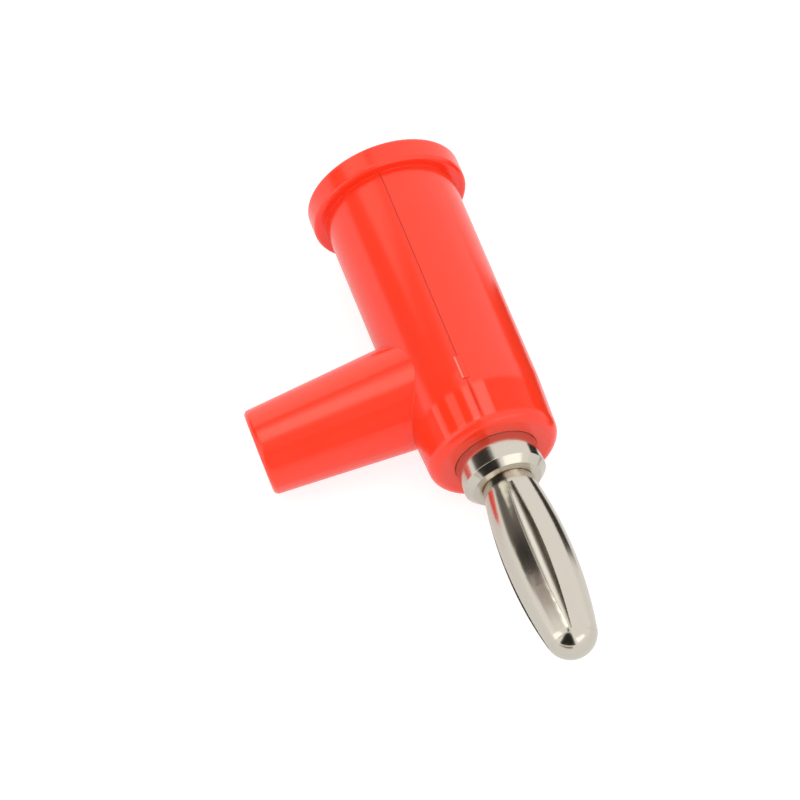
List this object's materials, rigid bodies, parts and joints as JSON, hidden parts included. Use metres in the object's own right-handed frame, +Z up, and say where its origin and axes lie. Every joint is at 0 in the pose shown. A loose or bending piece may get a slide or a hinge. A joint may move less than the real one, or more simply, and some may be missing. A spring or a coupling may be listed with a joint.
{
  "type": "banana plug",
  "caption": "Stackable banana plug with a four-leaf spring pin, a red insulating barrel with a flanged jack end and a tapered side tube for the cable.",
  "frame": {"origin": "crossing of the plug axis and the cable tube axis, in the middle of the wire hole", "axes": "the plug lies as it rests on a table: +X along the plug towards the pin (tipped slightly down), -Y along the cable tube (tipped down), +Z up"},
  "size_m": [0.0421, 0.0215, 0.0117],
  "materials": {
    "red_plastic": "smooth glossy red moulding, slightly translucent",
    "nickel_core": "turned brass, nickel plated",
    "nickel_pin": "turned brass, nickel plated",
    "nickel_spring": "spring bronze sheet, nickel plated",
    "screw_steel": "bright zinc-plated steel"
  },
  "bodies": {
    "plug": {"insulating_body": "red_plastic", "contact_core": "nickel_core", "core_pin": "nickel_pin", "spring_pin": "nickel_spring"},
    "clamp_screw": {"clamp_screw": "screw_steel"}
  },
  "joints": [
    {"name": "screw_travel", "type": "slide", "parent": "plug", "child": "clamp_screw", "axis": [0.999, 0, -0.0448], "range_m": [0, 0.0022]}
  ]
}
